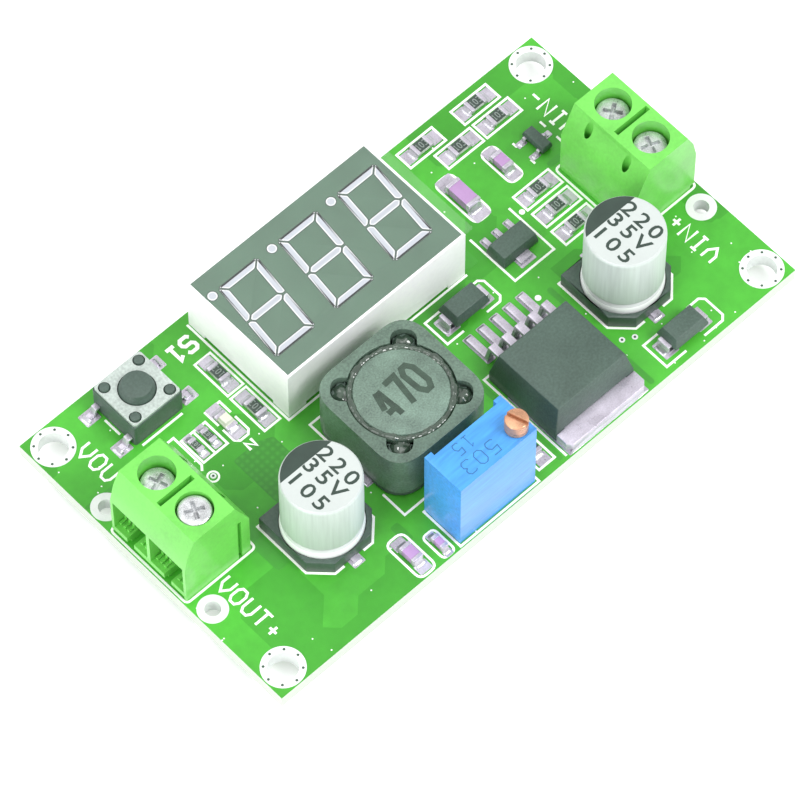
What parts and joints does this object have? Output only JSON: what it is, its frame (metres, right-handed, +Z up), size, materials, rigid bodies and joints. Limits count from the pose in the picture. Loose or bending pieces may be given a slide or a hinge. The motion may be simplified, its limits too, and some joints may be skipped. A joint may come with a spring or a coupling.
{
  "type": "buck converter module",
  "caption": "Step-down converter board with a digit meter, screw terminals, shielded inductor, capacitors, a many-turn trimmer and a push button.",
  "frame": {"origin": "middle of the four corner holes, on the underside of the circuit board", "axes": "+X along the board from the output terminal to the input terminal, +Y across the board towards the display, +Z up out of the parts side"},
  "size_m": [0.066, 0.036, 0.0148],
  "materials": {
    "board": "satin",
    "solder": "satin",
    "terminal_green": "satin",
    "plated_steel": "satin",
    "brass": "polished",
    "display_shell": "matte",
    "light_guide": "satin",
    "clear_film": "gloss",
    "black_resin": "matte",
    "tinned_lead": "satin",
    "ferrite": "matte",
    "copper_wire": "gloss",
    "aluminium_can": "satin",
    "black_base": "satin",
    "trimmer_blue": "satin",
    "white_ceramic": "matte",
    "spring_steel": "satin",
    "capacitor_ceramic": "matte",
    "led_lens": "gloss"
  },
  "bodies": {
    "module": {"chip_capacitors": "capacitor_ceramic", "chip_end_caps": "tinned_lead", "chip_resistors": "black_resin", "circuit_board": "board", "diode_bodies": "black_resin", "diode_leads": "tinned_lead", "display_backplate": "black_base", "display_film": "clear_film", "display_housing": "display_shell", "display_pins": "tinned_lead", "display_segments": "light_guide", "inductor_base": "black_base", "inductor_drum": "ferrite", "inductor_shield": "ferrite", "inductor_terminals": "tinned_lead", "inductor_winding": "copper_wire", "input_capacitor_base": "black_base", "input_capacitor_can": "aluminium_can", "input_capacitor_leads": "tinned_lead", "input_negative_cage": "plated_steel", "input_positive_cage": "plated_steel", "input_terminal_housing": "terminal_green", "meter_chip_body": "black_resin", "meter_chip_leads": "tinned_lead", "meter_regulator_body": "black_resin", "meter_regulator_leads": "tinned_lead", "output_capacitor_base": "black_base", "output_capacitor_can": "aluminium_can", "output_capacitor_leads": "tinned_lead", "output_negative_cage": "plated_steel", "output_positive_cage": "plated_steel", "output_terminal_housing": "terminal_green", "pin_solder_joints": "solder", "regulator_body": "black_resin", "regulator_leads": "tinned_lead", "regulator_tab": "tinned_lead", "status_led": "led_lens", "switch_base": "black_base", "switch_cover": "spring_steel", "switch_dome": "spring_steel", "switch_leads": "tinned_lead", "transistor_body": "black_resin", "transistor_leads": "tinned_lead", "trimmer_element": "white_ceramic", "trimmer_housing": "trimmer_blue", "trimmer_pins": "tinned_lead", "trimmer_seal": "black_base"},
    "output_negative_clamp": {"output_negative_clamp": "plated_steel"},
    "output_negative_screw": {"output_negative_screw": "plated_steel"},
    "output_positive_clamp": {"output_positive_clamp": "plated_steel"},
    "output_positive_screw": {"output_positive_screw": "plated_steel"},
    "input_negative_clamp": {"input_negative_clamp": "plated_steel"},
    "input_negative_screw": {"input_negative_screw": "plated_steel"},
    "input_positive_clamp": {"input_positive_clamp": "plated_steel"},
    "input_positive_screw": {"input_positive_screw": "plated_steel"},
    "switch_button": {"switch_button": "black_base"},
    "trimmer_screw": {"trimmer_screw": "brass"},
    "trimmer_wheel": {"trimmer_wheel": "black_base"}
  },
  "joints": [
    {"name": "output_negative_clamp_slide", "type": "slide", "parent": "module", "child": "output_negative_clamp", "axis": [0, 0, 1], "range_m": [-0.00105, 0.00145]},
    {"name": "output_negative_screw_turn", "type": "hinge", "parent": "output_negative_clamp", "child": "output_negative_screw", "pos_m": [-0.0289, 0.00289, 0.008], "axis": [0, 0, 1], "range_deg": [-841, 1161]},
    {"name": "output_positive_clamp_slide", "type": "slide", "parent": "module", "child": "output_positive_clamp", "axis": [0, 0, 1], "range_m": [-0.0025, 0]},
    {"name": "output_positive_screw_turn", "type": "hinge", "parent": "output_positive_clamp", "child": "output_positive_screw", "pos_m": [-0.0289, -0.00219, 0.008], "axis": [0, 0, 1], "range_deg": [-2001, 1]},
    {"name": "input_negative_clamp_slide", "type": "slide", "parent": "module", "child": "input_negative_clamp", "axis": [0, 0, 1], "range_m": [-0.0014, 0.0011]},
    {"name": "input_negative_screw_turn", "type": "hinge", "parent": "input_negative_clamp", "child": "input_negative_screw", "pos_m": [0.0289, 0.00289, 0.008], "axis": [0, 0, 1], "range_deg": [-1121, 881]},
    {"name": "input_positive_clamp_slide", "type": "slide", "parent": "module", "child": "input_positive_clamp", "axis": [0, 0, 1], "range_m": [-0.0014, 0.0011]},
    {"name": "input_positive_screw_turn", "type": "hinge", "parent": "input_positive_clamp", "child": "input_positive_screw", "pos_m": [0.0289, -0.00219, 0.008], "axis": [0, 0, 1], "range_deg": [-1121, 881]},
    {"name": "switch_press", "type": "slide", "parent": "module", "child": "switch_button", "axis": [0, 0, -1], "range_m": [0, 0.00025], "stiffness_N_per_m": 1000, "deforming": ["switch_dome"]},
    {"name": "trimmer_screw_turn", "type": "hinge", "parent": "module", "child": "trimmer_screw", "pos_m": [-0.00202, -0.0162, 0.008], "axis": [0, 0, 1], "range_deg": [-4500, 4500]},
    {"name": "trimmer_wheel_turn", "type": "hinge", "parent": "module", "child": "trimmer_wheel", "pos_m": [-0.00502, -0.0155, 0.0054], "axis": [0, 1, 0], "range_deg": [-141, 141]}
  ],
  "couplings": [
    {"joint": "output_negative_screw_turn", "follows": "output_negative_clamp_slide", "rad_per_m": 13963},
    {"joint": "output_positive_screw_turn", "follows": "output_positive_clamp_slide", "rad_per_m": 13963},
    {"joint": "input_negative_screw_turn", "follows": "input_negative_clamp_slide", "rad_per_m": 13963},
    {"joint": "input_positive_screw_turn", "follows": "input_positive_clamp_slide", "rad_per_m": 13963},
    {"joint": "trimmer_wheel_turn", "follows": "trimmer_screw_turn", "ratio": 0.03125}
  ]
}
